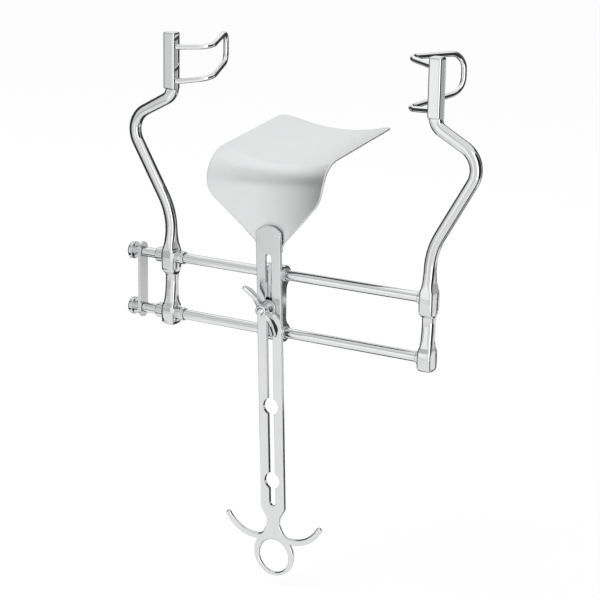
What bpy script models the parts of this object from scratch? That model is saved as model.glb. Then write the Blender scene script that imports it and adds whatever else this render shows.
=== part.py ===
"""Self-retaining abdominal retractor: two guide rods, a fixed and a sliding side arm, each with a
wire blade, and a centre blade whose slotted shank is clamped to a cross slider by a wing nut.

The origin is the middle of the tie plate's outer face. X runs along the rods, Y is the way the
blades point into the wound, and Z is up. Sizes are in metres, written in millimetres times mm.
"""

import math

import bmesh
import bpy
from mathutils import Matrix, Vector

mm = 0.001
degree = math.pi / 180

# Clearances
fit = 0.3 * mm
running_fit = 0.3 * mm

# Guide rods
rod_diameter = 7.2 * mm
rod_spacing = 42.6 * mm
rod_chamfer = 0.5 * mm
rod_end_cover = 2.4 * mm
pin_diameter = 2.2 * mm

# Tie plate and its two end screws
plate_thickness = 2.3 * mm
plate_width = 9.4 * mm
plate_overhang = 7.2 * mm
screw_diameter = 3.8 * mm
screw_engagement = 8.0 * mm
screw_neck_diameter = 6.2 * mm
screw_neck_length = 5.0 * mm
spot_face_depth = 0.4 * mm
knob_diameter = 12.6 * mm
knob_thickness = 3.8 * mm

# Side arms
left_arm_x = 27.0 * mm
right_arm_x = 240.4 * mm
neck_width = 7.5 * mm
neck_depth = 8.4 * mm
neck_corner = 1.5 * mm
waist_width = 7.6 * mm
waist_depth = 9.2 * mm
boss_width = 10.4 * mm
boss_depth = 13.2 * mm
boss_corner = 1.6 * mm
boss_above_rod = 5.8 * mm
boss_below_rod = 11.4 * mm
foot_above_rod = 7.0 * mm
foot_below_rod = 8.6 * mm
boss_taper = 16.0 * mm
bow_root = 32.9 * mm
left_bow_angle = 31.0 * degree
right_bow_angle = 30.2 * degree
bow_in_angle = 61.9 * degree
bow_root_radius = 50.0 * mm
bow_radius = 17.0 * mm
shoulder_radius = 9.0 * mm
shoulder_drop = 5.2 * mm
head_bottom = 145.0 * mm
head_height = 41.0 * mm
head_width = 8.4 * mm
head_depth = 10.0 * mm
head_corner = 0.9 * mm
rod_collar_diameter = 9.6 * mm
rod_collar_length = 2.2 * mm

# Guide bushes of the sliding arm
bush_diameter = 9.2 * mm
bush_inner_length = 7.2 * mm
collar_diameter = 10.9 * mm
collar_length = 6.2 * mm
bush_chamfer = 0.6 * mm

# Wire blades
wire_diameter = 4.0 * mm
wire_socket_depth = 5.0 * mm
wire_bend_depth = 8.5 * mm
wire_depth = 55.0 * mm
wire_bend_radius = 5.0 * mm
left_wire_height = 17.9 * mm
left_wire_bend_in = 25.0 * mm
left_wire_gaps = (24.8 * mm, 22.4 * mm, 21.6 * mm)
left_wire_rises = (2.6 * mm, 8.0 * mm)
left_wire_reach = 6.7 * mm
left_wire_corner = 5.5 * mm
right_wire_height = 19.7 * mm
right_wire_bend_in = 23.4 * mm
right_wire_gaps = (29.6 * mm, 34.6 * mm, 26.4 * mm)
right_wire_rises = (0.5 * mm, 4.3 * mm)
right_wire_reach = 3.8 * mm
right_wire_corner = 9.0 * mm

# Cross slider, stud, washer and wing nut
slider_x = 118.2 * mm
slider_width = 15.8 * mm
slider_wall = 3.1 * mm
slider_waist = 7.7 * mm
slider_fillet = 8.0 * mm
slider_bush_wall = 1.0 * mm
slider_bush_proud = 1.1 * mm
stud_z = -2.0 * mm
stud_diameter = 4.5 * mm
stud_seat_depth = 4.0 * mm
stud_tip_proud = 1.6 * mm
key_bottom = 14.5 * mm
key_top = 30.0 * mm
key_height = 2.6 * mm
washer_diameter = 12.0 * mm
washer_thickness = 1.2 * mm
nut_base_diameter = 11.4 * mm
nut_top_diameter = 8.6 * mm
nut_height = 9.8 * mm
wing_span = 43.0 * mm
wing_thickness = 3.8 * mm
wing_angle = -50.0 * degree

# Centre blade and its shank, measured up and down from the stud
shank_lean = -2.0 * degree
shank_width = 20.0 * mm
shank_thickness = 3.0 * mm
shank_top = 59.4 * mm
shank_top_radius = 12.5 * mm
shank_shoulder = 151.0 * mm
slot_width = 5.2 * mm
slot_top = 39.0 * mm
slot_bottom = 149.0 * mm
keyhole_diameter = 12.7 * mm
keyhole_drops = (73.4 * mm, 129.8 * mm)
shank_neck_width = 10.8 * mm
shank_neck = 162.2 * mm
ring_drop = 186.2 * mm
ring_outer_radius = 17.0 * mm
ring_hole_drop = 187.7 * mm
ring_bar = 4.4 * mm
hook_drop = 174.4 * mm
hook_span = 77.6 * mm
hook_rise = 13.2 * mm
hook_bar = 4.7 * mm
hook_radius = 15.0 * mm
blade_thickness = 1.4 * mm
blade_half_width = 47.0 * mm
blade_foot = 41.0 * mm
blade_flare_start = 45.0 * mm
blade_flare_root_radius = 12.0 * mm
blade_flare_tip_radius = 24.0 * mm
blade_bend_height = 101.0 * mm
blade_bend_radius = 12.0 * mm
blade_depth = 89.0 * mm
blade_rise = 8.4 * degree
blade_crown_radius = 142.0 * mm
blade_crown_shift = 5.0 * mm
blade_shift = -0.8 * mm
blade_corner = 10.0 * mm

# Facets
round_steps = 24
small_steps = 16
arc_step = 12 * degree

# Places that follow from the sizes
rod_z = rod_spacing / 2
head_top = head_bottom + head_height
rod_start = plate_thickness + fit
rod_end = right_arm_x + boss_width / 2 - rod_end_cover
slider_radius = rod_diameter / 2 + slider_wall
slider_front = -slider_radius
shank_back = slider_front - fit
shank_front = shank_back - shank_thickness
washer_back = shank_front - fit
washer_front = washer_back - washer_thickness
nut_back = washer_front - fit
nut_front = nut_back - nut_height
up = Vector((0, 0, 1))


def make_collection(name):
    collection = bpy.data.collections.new(name)
    bpy.context.scene.collection.children.link(collection)
    return collection


def make_material(name, colour, roughness):
    material = bpy.data.materials.new(name)
    material.use_nodes = True
    shader = material.node_tree.nodes["Principled BSDF"]
    shader.inputs["Base Color"].default_value = (*colour, 1)
    shader.inputs["Roughness"].default_value = roughness
    shader.inputs["Metallic"].default_value = 1
    return material


def finish(part, material_name, colour=(0.62, 0.63, 0.64), roughness=0.12):
    """Shade a part smooth with crisp edges and give it its own steel."""
    part.data.materials.clear()
    part.data.materials.append(make_material(material_name, colour, roughness))
    part.data.shade_smooth()
    part.data.set_sharp_from_angle(angle=35 * degree)
    return part


def mesh_object(name, bm, collection):
    mesh = bpy.data.meshes.new(name)
    bm.to_mesh(mesh)
    bm.free()
    thing = bpy.data.objects.new(name, mesh)
    collection.objects.link(thing)
    return thing


def arc_between(centre, start, end):
    """Points on the arc from start to end, both included."""
    a = start - centre
    b = end - centre
    sweep = a.angle(b)
    count = max(1, math.ceil(sweep / arc_step))
    points = []
    for index in range(count + 1):
        k = index / count
        blend = a * math.sin((1 - k) * sweep) + b * math.sin(k * sweep)
        points.append(centre + blend / math.sin(sweep))
    return points


def fillet(before, corner, after, radius):
    toward_start = (before - corner).normalized()
    toward_end = (after - corner).normalized()
    half = toward_start.angle(toward_end) / 2
    reach = radius / math.tan(half)
    centre = corner + (toward_start + toward_end).normalized() * radius / math.sin(half)
    return arc_between(centre, corner + toward_start * reach, corner + toward_end * reach)


def filleted(corners, radii, closed=False):
    """A path through the corners, rounded by the radii; a radius of 0 keeps the corner sharp."""
    points = []
    count = len(corners)
    for index, (corner, radius) in enumerate(zip(corners, radii)):
        inside = closed or 0 < index < count - 1
        if not inside or radius == 0:
            points.append(corner.copy())
            continue
        points += fillet(corners[index - 1], corner, corners[(index + 1) % count], radius)
    return points


def flat(x, y):
    return Vector((x, y, 0))


def circle(centre, radius, steps):
    turns = [2 * math.pi * index / steps for index in range(steps)]
    return [centre + flat(math.cos(a), math.sin(a)) * radius for a in turns]


def sweep_arc(centre, radius, start, end):
    """Points on an arc from one angle to another, either way round."""
    count = max(1, math.ceil(abs(end - start) / arc_step))
    angles = [start + (end - start) * index / count for index in range(count + 1)]
    return [centre + flat(math.cos(a), math.sin(a)) * radius for a in angles]


def mirrored(half):
    """Closes a half outline, listed from top to bottom at +x, across the Y axis."""
    other = [flat(-p.x, p.y) for p in reversed(half) if abs(p.x) > 1e-7]
    return half + other


def plate_from_outlines(name, outlines, thickness, place, collection):
    """A flat piece: the first outline with the others as holes, welded into one mesh."""
    curve = bpy.data.curves.new(name, "CURVE")
    curve.dimensions = "2D"
    curve.fill_mode = "BOTH"
    curve.extrude = thickness / 2
    for outline in outlines:
        spline = curve.splines.new("POLY")
        spline.points.add(len(outline) - 1)
        for point, place_of_point in zip(spline.points, outline):
            point.co = (place_of_point.x, place_of_point.y, 0, 1)
        spline.use_cyclic_u = True
    guide = bpy.data.objects.new(name + "_outline", curve)
    collection.objects.link(guide)
    bpy.context.view_layer.update()
    evaluated = guide.evaluated_get(bpy.context.evaluated_depsgraph_get())
    mesh = bpy.data.meshes.new_from_object(evaluated)
    bpy.data.objects.remove(guide)
    bm = bmesh.new()
    bm.from_mesh(mesh)
    bpy.data.meshes.remove(mesh)
    bmesh.ops.remove_doubles(bm, verts=bm.verts, dist=1e-7)
    bmesh.ops.recalc_face_normals(bm, faces=bm.faces)
    piece = mesh_object(name, bm, collection)
    piece.matrix_world = place
    return piece


def upright_place(x, y, z):
    """Takes an outline's x and y to world X and Z, and its thickness to Y."""
    return Matrix.Translation((x, y, z)) @ Matrix.Rotation(math.pi / 2, 4, "X")


def turned(name, profile, steps, place, collection):
    """A turned piece from (radius, height) points that run down the outer side."""
    bm = bmesh.new()
    verts = [bm.verts.new((radius, 0, height)) for radius, height in profile]
    for first, second in zip(verts, verts[1:]):
        bm.edges.new((first, second))
    if profile[0][0] > 0:
        bm.edges.new((verts[-1], verts[0]))
    piece = mesh_object(name, bm, collection)
    spin = piece.modifiers.new("turn", "SCREW")
    spin.steps = steps
    spin.render_steps = steps
    spin.use_merge_vertices = True
    spin.merge_threshold = 0.00001
    piece.matrix_world = place
    return piece


def along_x(x, y, z):
    return Matrix.Translation((x, y, z)) @ Matrix.Rotation(math.pi / 2, 4, "Y")


def toward_front(x, y, z):
    """Turns a piece's local +Z to world -Y, the side that faces the surgeon."""
    return Matrix.Translation((x, y, z)) @ Matrix.Rotation(math.pi / 2, 4, "X")


def rod_cutter(name, radius, start, end, place):
    profile = [(0, end), (radius, end), (radius, start), (0, start)]
    cutter = turned(name, profile, round_steps, place, cutters)
    cutter.hide_render = True
    cutter.display_type = "WIRE"
    return cutter


def cut(part, cutter):
    boolean = part.modifiers.new(cutter.name, "BOOLEAN")
    boolean.operation = "DIFFERENCE"
    boolean.object = cutter


def join(part, extra):
    boolean = part.modifiers.new(extra.name, "BOOLEAN")
    boolean.operation = "UNION"
    boolean.object = extra
    extra.hide_render = True
    extra.display_type = "WIRE"


def rounded_section(width, depth, corner):
    """Section points of a bar: x across its width, y across its depth."""
    points = []
    for turn in range(4):
        angle = turn * math.pi / 2
        side = (1 if turn in (0, 3) else -1, 1 if turn in (0, 1) else -1)
        centre = flat(side[0] * (width / 2 - corner), side[1] * (depth / 2 - corner))
        points += [centre + flat(math.cos(a), math.sin(a)) * corner
                   for a in (angle, angle + 30 * degree, angle + 60 * degree, angle + 90 * degree)]
    return points


def arm_stations(bow_out_angle):
    """Sections of a side arm from foot to head: place on its centre line, tangent and size."""
    boss = (boss_width, boss_depth, boss_corner)
    waist = (waist_width, waist_depth, neck_corner)
    neck = (neck_width, neck_depth, neck_corner)
    head = (head_width, head_depth, head_corner)
    foot_end = -rod_z - foot_below_rod
    foot_top = -rod_z + foot_above_rod
    boss_end = rod_z - boss_below_rod
    boss_top = rod_z + boss_above_rod

    def scaled(size, width, depth):
        return (size[0] * width, size[1] * depth, size[2])

    def mid(size, other, k):
        return tuple(a + (b - a) * k for a, b in zip(size, other))

    straight = [
        (foot_end, scaled(boss, 0.86, 0.62)),
        (foot_end + 0.8 * mm, scaled(boss, 0.96, 0.80)),
        (foot_end + 2.6 * mm, scaled(boss, 1, 0.95)),
        (-rod_z, boss),
        (foot_top - 2.4 * mm, scaled(boss, 1, 0.95)),
        (foot_top - 0.7 * mm, scaled(boss, 0.98, 0.84)),
        (foot_top + 0.4 * mm, mid(waist, boss, 0.18)),
        (foot_top + 4.0 * mm, waist),
        (boss_end - 6.0 * mm, waist),
        (boss_end - 0.5 * mm, mid(waist, boss, 0.2)),
        (boss_end + 0.5 * mm, scaled(boss, 0.92, 0.9)),
        (boss_end + 3.0 * mm, scaled(boss, 1, 0.96)),
        (rod_z, boss),
        (boss_top - 1.2 * mm, scaled(boss, 0.97, 0.98)),
        (boss_top + 1.0 * mm, (mid(neck, boss, 0.35)[0], boss_depth * 0.93, boss_corner)),
        (boss_top + boss_taper * 0.35, (mid(neck, boss, 0.12)[0], mid(neck, boss, 0.5)[1], neck_corner)),
        (boss_top + boss_taper * 0.75, mid(neck, boss, 0.12)[:2] + (neck_corner,)),
    ]
    stations = [(Vector((0, 0, z)), up, size) for z, size in straight]

    root = Vector((0, 0, rod_z + bow_root))
    shoulder = Vector((0, 0, head_bottom - shoulder_drop))
    out_slope = math.tan(math.pi / 2 - bow_out_angle)
    in_slope = math.tan(math.pi / 2 - bow_in_angle)
    reach = (shoulder.z - root.z) / (out_slope + in_slope)
    apex = Vector((reach, 0, root.z + reach * out_slope))
    corners = [Vector((0, 0, boss_top)), root, apex, shoulder, Vector((0, 0, head_top))]
    path = filleted(corners, [0, bow_root_radius, bow_radius, shoulder_radius, 0])[1:-1]
    for index, point in enumerate(path):
        before = path[index - 1] if index > 0 else point - up
        after = path[index + 1] if index < len(path) - 1 else point + up
        stations.append((point, (after - before).normalized(), neck))

    stations += [
        (Vector((0, 0, head_bottom + 0.6 * mm)), up, mid(neck, head, 0.3)),
        (Vector((0, 0, head_bottom + 1.2 * mm)), up, head),
        (Vector((0, 0, head_top - 1.0 * mm)), up, head),
        (Vector((0, 0, head_top)), up, (head_width * 0.84, head_depth * 0.86, head_corner)),
    ]
    return stations


def arm(name, x, outward, bow_out_angle):
    """Loft of the forged arm; outward is the side to which it bows, 1 for +X and -1 for -X."""
    bm = bmesh.new()
    rings = []
    for point, tangent, size in arm_stations(bow_out_angle):
        across = Vector((tangent.z, 0, -tangent.x))
        ring = []
        for corner in rounded_section(*size):
            place = point + across * corner.x + Vector((0, corner.y, 0))
            ring.append(bm.verts.new((place.x * outward, place.y, place.z)))
        rings.append(ring)
    for lower, upper in zip(rings, rings[1:]):
        for index in range(len(lower)):
            after = (index + 1) % len(lower)
            bm.faces.new((lower[index], lower[after], upper[after], upper[index]))
    bm.faces.new(rings[0])
    bm.faces.new(rings[-1])
    bmesh.ops.recalc_face_normals(bm, faces=bm.faces)
    piece = mesh_object(name, bm, parts)
    piece.location = (x, 0, 0)
    return piece


def wire_path(bend_in, gaps, rises, reach, end_corner):
    """Wire blade in its arm's frame: x inwards from the head's face, y deep, z from its middle."""
    upper = []
    lower = []
    for side, run in ((1, upper), (-1, lower)):
        run += [
            Vector((-wire_socket_depth, 0, side * gaps[0] / 2)),
            Vector((0, 0, side * gaps[0] / 2)),
            Vector((bend_in, wire_bend_depth, rises[0] + side * gaps[1] / 2)),
            Vector((reach, wire_depth, rises[1] + side * gaps[2] / 2)),
        ]
    lower.reverse()
    radii = [0, wire_diameter, wire_bend_radius, end_corner]
    return filleted(upper + lower, radii + radii[::-1])


def wire_blade(name, x, outward, height, path, collection):
    """Bent wire blade, brazed into two sockets in the inner face of its arm's head."""
    curve = bpy.data.curves.new(name, "CURVE")
    curve.dimensions = "3D"
    curve.bevel_depth = wire_diameter / 2
    curve.bevel_resolution = 3
    curve.use_fill_caps = True
    spline = curve.splines.new("POLY")
    spline.points.add(len(path) - 1)
    for point, place in zip(spline.points, path):
        inward = head_width / 2 + place.x
        point.co = (-outward * inward, place.y, place.z, 1)
    wire = bpy.data.objects.new(name, curve)
    collection.objects.link(wire)
    wire.location = (x, 0, head_bottom + height)
    curve.materials.append(make_material(name + "_steel", (0.64, 0.65, 0.66), 0.1))
    return wire


def drill_wire_sockets(head, x, outward, height, gaps):
    """Blind sockets for the wire ends, open on the head's inner face."""
    deep = wire_socket_depth + fit
    for label, side in (("upper", 1), ("lower", -1)):
        face = x - outward * head_width / 2
        place = along_x(face, 0, head_bottom + height + side * gaps[0] / 2)
        inner, outer = sorted((outward * deep, -outward * 2 * fit))
        radius = wire_diameter / 2 + fit
        cut(head, rod_cutter(f"{head.name}_{label}_socket", radius, inner, outer, place))


def build_side_arms():
    left = arm("left_arm", left_arm_x, -1, left_bow_angle)
    right = arm("right_arm", right_arm_x, 1, right_bow_angle)
    bore = bush_diameter / 2 + fit
    for label, side in (("upper", 1), ("lower", -1)):
        place = along_x(left_arm_x, 0, side * rod_z)
        cut(left, rod_cutter(f"left_{label}_bore", bore, -boss_width, boss_width, place))

        collar_profile = [
            (0, 0),
            (rod_collar_diameter / 2, 0),
            (rod_collar_diameter / 2, -boss_width / 2 - rod_collar_length + rod_chamfer),
            (rod_collar_diameter / 2 - rod_chamfer, -boss_width / 2 - rod_collar_length),
            (0, -boss_width / 2 - rod_collar_length),
        ]
        place = along_x(right_arm_x, 0, side * rod_z)
        join(right, turned(f"right_{label}_collar", collar_profile, round_steps, place, cutters))
        seat = rod_end - right_arm_x + fit
        radius = rod_diameter / 2 + fit
        cut(right, rod_cutter(f"right_{label}_seat", radius, -2 * boss_width, seat, place))
        place = toward_front(right_arm_x, 0, side * rod_z)
        radius = pin_diameter / 2 + fit / 2
        cut(right, rod_cutter(f"right_{label}_pin_hole", radius, -boss_depth, boss_depth, place))
    drill_wire_sockets(left, left_arm_x, -1, left_wire_height, left_wire_gaps)
    drill_wire_sockets(right, right_arm_x, 1, right_wire_height, right_wire_gaps)
    finish(left, "left_arm_steel")
    finish(right, "right_arm_steel")


def build_wire_blades():
    path = wire_path(left_wire_bend_in, left_wire_gaps, left_wire_rises, left_wire_reach,
                     left_wire_corner)
    wire_blade("left_wire_blade", left_arm_x, -1, left_wire_height, path, parts)
    path = wire_path(right_wire_bend_in, right_wire_gaps, right_wire_rises, right_wire_reach,
                     right_wire_corner)
    wire_blade("right_wire_blade", right_arm_x, 1, right_wire_height, path, parts)


def build_rods():
    radius = rod_diameter / 2
    hole = screw_diameter / 2 + fit
    depth = screw_engagement + 2 * fit
    length = rod_end - rod_start
    profile = [
        (0, length),
        (radius - rod_chamfer, length),
        (radius, length - rod_chamfer),
        (radius, rod_chamfer),
        (radius - rod_chamfer, 0),
        (hole, 0),
        (hole, depth),
        (0, depth),
    ]
    for label, side in (("upper", 1), ("lower", -1)):
        rod = turned(f"{label}_rod", profile, round_steps, along_x(rod_start, 0, side * rod_z), parts)
        place = toward_front(right_arm_x, 0, side * rod_z)
        pin_hole = rod_cutter(f"{label}_rod_cross_hole", pin_diameter / 2 + fit / 2,
                              -rod_diameter, rod_diameter, place)
        cut(rod, pin_hole)
        finish(rod, f"{label}_rod_steel", roughness=0.1)
        half = boss_depth / 2 - fit
        pin_profile = [
            (0, half),
            (pin_diameter / 2 - fit / 2, half),
            (pin_diameter / 2, half - fit / 2),
            (pin_diameter / 2, -half + fit / 2),
            (pin_diameter / 2 - fit / 2, -half),
            (0, -half),
        ]
        pin = turned(f"{label}_rod_pin", pin_profile, small_steps, place, parts)
        finish(pin, f"{label}_rod_pin_steel")


def build_tie_plate():
    half_height = rod_z + plate_overhang
    corner = plate_width / 2 - 0.3 * mm
    corners = [
        flat(plate_width / 2, half_height),
        flat(plate_width / 2, -half_height),
        flat(-plate_width / 2, -half_height),
        flat(-plate_width / 2, half_height),
    ]
    outline = filleted(corners, [corner] * 4, closed=True)
    hole = screw_diameter / 2 + fit
    holes = [circle(flat(0, side * rod_z), hole, small_steps) for side in (1, -1)]
    # The outline's x runs to world Y, its y to world Z and its thickness to world X.
    turn = Matrix.Rotation(math.pi / 2, 4, "Z") @ Matrix.Rotation(math.pi / 2, 4, "X")
    place = Matrix.Translation((plate_thickness / 2, 0, 0)) @ turn
    plate = plate_from_outlines("tie_plate", [outline] + holes, plate_thickness, place, parts)
    # The necks of the end screws stand in shallow spot faces in the outer face.
    spot = screw_neck_diameter / 2 + 1.5 * fit
    for label, side in (("upper", 1), ("lower", -1)):
        spot_place = along_x(0, 0, side * rod_z)
        cut(plate, rod_cutter(f"{label}_spot_face", spot, -2 * fit, spot_face_depth, spot_place))
    finish(plate, "tie_plate_steel", (0.5, 0.5, 0.51), 0.25)


def build_end_screws():
    round_over = 1.2 * mm
    tip = plate_thickness + fit + screw_engagement
    back = spot_face_depth - fit
    face = back - screw_neck_length
    outer = face - knob_thickness
    profile = [
        (0, tip),
        (screw_diameter / 2 - fit, tip),
        (screw_diameter / 2, tip - fit),
        (screw_diameter / 2, back),
        (screw_neck_diameter / 2, back),
        (screw_neck_diameter / 2, face),
        (knob_diameter / 2 - round_over / 2, face),
        (knob_diameter / 2, face - round_over / 2),
        (knob_diameter / 2, outer + round_over),
        (knob_diameter / 2 - round_over * 0.3, outer + round_over * 0.3),
        (knob_diameter / 2 - round_over, outer),
        (0, outer),
    ]
    for label, side in (("upper", 1), ("lower", -1)):
        place = along_x(0, 0, side * rod_z)
        screw = turned(f"{label}_end_screw", profile, round_steps, place, parts)
        finish(screw, f"{label}_end_screw_steel")


def build_arm_bushes():
    bore = rod_diameter / 2 + running_fit
    outside = bush_diameter / 2
    collar_face = -boss_width / 2 - fit
    inner_end = boss_width / 2 + bush_inner_length
    profile = [
        (bore, inner_end),
        (outside - bush_chamfer / 2, inner_end),
        (outside, inner_end - bush_chamfer),
        (outside, collar_face),
        (collar_diameter / 2, collar_face),
        (collar_diameter / 2, collar_face - collar_length + bush_chamfer),
        (collar_diameter / 2 - bush_chamfer, collar_face - collar_length),
        (bore, collar_face - collar_length),
    ]
    for label, side in (("upper", 1), ("lower", -1)):
        place = along_x(left_arm_x, 0, side * rod_z)
        bush = turned(f"{label}_arm_bush", profile, round_steps, place, parts)
        finish(bush, f"{label}_arm_bush_steel")


def slider_outline():
    """Side view of the slider, x towards +Y: a flat front, two round bosses and a waisted back."""
    waist_back = slider_front + slider_waist
    centre = flat(waist_back + slider_fillet, 0)
    apart = slider_radius + slider_fillet
    centre.y = rod_z - math.sqrt(apart ** 2 - centre.x ** 2)
    lean = math.atan2(centre.y - rod_z, centre.x)
    upper = sweep_arc(flat(0, rod_z), slider_radius, math.pi, lean)
    upper += sweep_arc(centre, slider_fillet, math.pi + lean, math.pi)[1:]
    lower = [flat(p.x, -p.y) for p in reversed(upper)]
    return upper + lower


def build_slider():
    turn = Matrix.Rotation(math.pi / 2, 4, "Z") @ Matrix.Rotation(math.pi / 2, 4, "X")
    place = Matrix.Translation((slider_x, 0, 0)) @ turn
    bush_outside = rod_diameter / 2 + running_fit + slider_bush_wall
    bores = [circle(flat(0, side * rod_z), bush_outside + fit, round_steps) for side in (1, -1)]
    slider = plate_from_outlines("cross_slider", [slider_outline()] + bores, slider_width, place, parts)

    # A key above the stud rides in the shank's slot. It leaves room for the shank's small lean.
    key_reach = key_top - stud_z
    key_half = slot_width / 2 - fit - key_reach * math.tan(abs(shank_lean))
    key_corners = [
        flat(-key_half, key_top),
        flat(-key_half, key_bottom),
        flat(key_half, key_bottom),
        flat(key_half, key_top),
    ]
    key_outline = filleted(key_corners, [key_half * 0.8] * 4, closed=True)
    seat = 1.5 * mm
    key_place = upright_place(slider_x, slider_front + seat / 2 - key_height / 2, 0)
    key = plate_from_outlines("slider_key", [key_outline], key_height + seat, key_place, cutters)
    join(slider, key)
    hole = rod_cutter("stud_hole", stud_diameter / 2 + fit, -stud_seat_depth - fit, 2 * fit,
                      toward_front(slider_x, slider_front, stud_z))
    cut(slider, hole)
    finish(slider, "cross_slider_steel")

    proud = slider_width / 2 + slider_bush_proud
    bore = rod_diameter / 2 + running_fit
    profile = [
        (bore, proud),
        (bush_outside - fit, proud),
        (bush_outside, proud - fit),
        (bush_outside, -proud + fit),
        (bush_outside - fit, -proud),
        (bore, -proud),
    ]
    for label, side in (("upper", 1), ("lower", -1)):
        bush = turned(f"{label}_slider_bush", profile, round_steps, along_x(slider_x, 0, side * rod_z), parts)
        finish(bush, f"{label}_slider_bush_steel")


def build_clamp():
    """Stud, washer and wing nut on one axis that points to the front."""
    place = toward_front(slider_x, 0, stud_z)
    radius = stud_diameter / 2
    tip = -nut_front + stud_tip_proud
    seat = -slider_front - stud_seat_depth
    profile = [
        (0, tip),
        (radius - 0.8 * mm, tip),
        (radius, tip - 0.8 * mm),
        (radius, seat),
        (0, seat),
    ]
    finish(turned("clamp_stud", profile, round_steps, place, parts), "clamp_stud_steel")

    bore = radius + fit
    profile = [
        (bore, -washer_front),
        (washer_diameter / 2 - 0.5 * mm, -washer_front),
        (washer_diameter / 2, -washer_back + washer_thickness / 2),
        (washer_diameter / 2, -washer_back),
        (bore, -washer_back),
    ]
    finish(turned("clamp_washer", profile, round_steps, place, parts), "clamp_washer_steel")

    base = nut_base_diameter / 2
    top = nut_top_diameter / 2
    profile = [
        (bore, -nut_front),
        (top - 0.8 * mm, -nut_front),
        (top, -nut_front - 0.8 * mm),
        (top, -nut_back + nut_height * 0.45),
        ((base + top) / 2, -nut_back + nut_height * 0.22),
        (base, -nut_back + 1.4 * mm),
        (base, -nut_back),
        (bore, -nut_back),
    ]
    nut = turned("wing_nut", profile, round_steps, place, parts)
    wings = wing_plates(bore)
    join(nut, wings)
    finish(nut, "wing_nut_steel")


def wing_plates(bore):
    """Both wings as one plate on the nut's axis, with a gap for the stud between their roots."""
    tip = wing_span / 2
    base = -nut_back
    root = bore + 0.5 * mm
    corners = [
        flat(root, base + nut_height * 0.16),
        flat(nut_base_diameter / 2 + 1.6 * mm, base + nut_height * 0.42),
        flat(tip * 0.76, base + nut_height * 0.70),
        flat(tip, base + nut_height * 0.72),
        flat(tip * 0.95, base + nut_height * 0.96),
        flat(tip * 0.55, base + nut_height * 1.28),
        flat(tip * 0.27, base + nut_height * 1.18),
        flat(root, base + nut_height * 0.90),
    ]
    radii = [0, 4 * mm, 6 * mm, 0.9 * mm, 1.2 * mm, 6 * mm, 3 * mm, 0]
    wing = filleted(corners, radii, closed=True)
    wings = bmesh.new()
    for side in (1, -1):
        half = plate_from_outlines("wing_half", [wing], wing_thickness, Matrix.Identity(4), cutters)
        half.data.transform(Matrix.Scale(side, 4, (1, 0, 0)))
        wings.from_mesh(half.data)
        bpy.data.objects.remove(half)
    bmesh.ops.recalc_face_normals(wings, faces=wings.faces)
    plate = mesh_object("wing_plates", wings, cutters)
    # The outline's y is the distance to the front along the stud, and its x the reach of a wing.
    turn = Matrix.Rotation(-wing_angle, 4, "Y") @ Matrix.Rotation(math.pi, 4, "X")
    plate.matrix_world = Matrix.Translation((slider_x, 0, stud_z)) @ turn
    return plate


def shank_outline():
    """Right half of the shank from its round top to the foot of the finger ring."""
    half = shank_width / 2
    side_start = shank_top - shank_top_radius + math.sqrt(shank_top_radius ** 2 - half ** 2)
    turn = math.acos(half / shank_top_radius)
    points = sweep_arc(flat(0, shank_top - shank_top_radius), shank_top_radius, math.pi / 2, turn)
    points = points[:-1] + [flat(half, side_start)]

    neck = shank_neck_width / 2
    hook_top = -hook_drop + hook_bar / 2
    waist = filleted(
        [
            flat(half, 0),
            flat(half, -shank_shoulder),
            flat(neck, -shank_neck + 4.0 * mm),
            flat(neck, -shank_neck - 1.5 * mm),
            flat(neck + 4.5 * mm, hook_top - 0.2 * mm),
            flat(neck + 14 * mm, hook_top),
        ],
        [0, 5 * mm, 6 * mm, 7 * mm, 6 * mm, 0],
    )[1:-1]
    points += waist

    # The hook's bar is swept along its centre line, upper edge out and lower edge back.
    tip = flat(hook_span / 2, -hook_drop + hook_rise)
    line = filleted(
        [
            flat(neck + 9 * mm, -hook_drop),
            flat(hook_span / 2 - 8.5 * mm, -hook_drop + 1.6 * mm),
            tip,
        ],
        [0, hook_radius, 0],
    )
    upper = []
    lower = []
    for index, point in enumerate(line):
        before = line[max(index - 1, 0)]
        after = line[min(index + 1, len(line) - 1)]
        along = (after - before).normalized()
        normal = flat(-along.y, along.x)
        slim = hook_bar / 2 * (1 - 0.12 * index / len(line))
        upper.append(point + normal * slim)
        lower.append(point - normal * slim)
    along = (line[-1] - line[-2]).normalized()
    start = math.atan2(along.x, -along.y)
    tip_radius = (upper[-1] - lower[-1]).length / 2
    cap = sweep_arc((upper[-1] + lower[-1]) / 2, tip_radius, start, start - math.pi)
    points += upper[:-1] + cap + lower[::-1][1:]

    centre = flat(0, -ring_drop)
    meet = math.asin(min(0.9, (lower[0].y - centre.y) / ring_outer_radius * 0.86))
    points += sweep_arc(centre, ring_outer_radius, meet, -math.pi / 2)
    return points


def slot_outline():
    """Slot with a round keyhole at each drop, right half from top to bottom."""
    half = slot_width / 2
    centre = flat(0, slot_top - half)
    points = sweep_arc(centre, half, math.pi / 2, 0)
    radius = keyhole_diameter / 2
    enter = math.acos(half / radius)
    for drop in keyhole_drops:
        points += sweep_arc(flat(0, -drop), radius, enter, -enter)
    points += sweep_arc(flat(0, -slot_bottom + half), half, 0, -math.pi / 2)
    return points


def blade_pivot():
    """Empty on the stud, turned by the small lean that the blade has on its clamp."""
    pivot = bpy.data.objects.new("blade_slide_axis", None)
    parts.objects.link(pivot)
    pivot.location = (slider_x, 0, stud_z)
    pivot.rotation_euler = (0, shank_lean, 0)
    bpy.context.view_layer.update()
    return pivot


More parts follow.
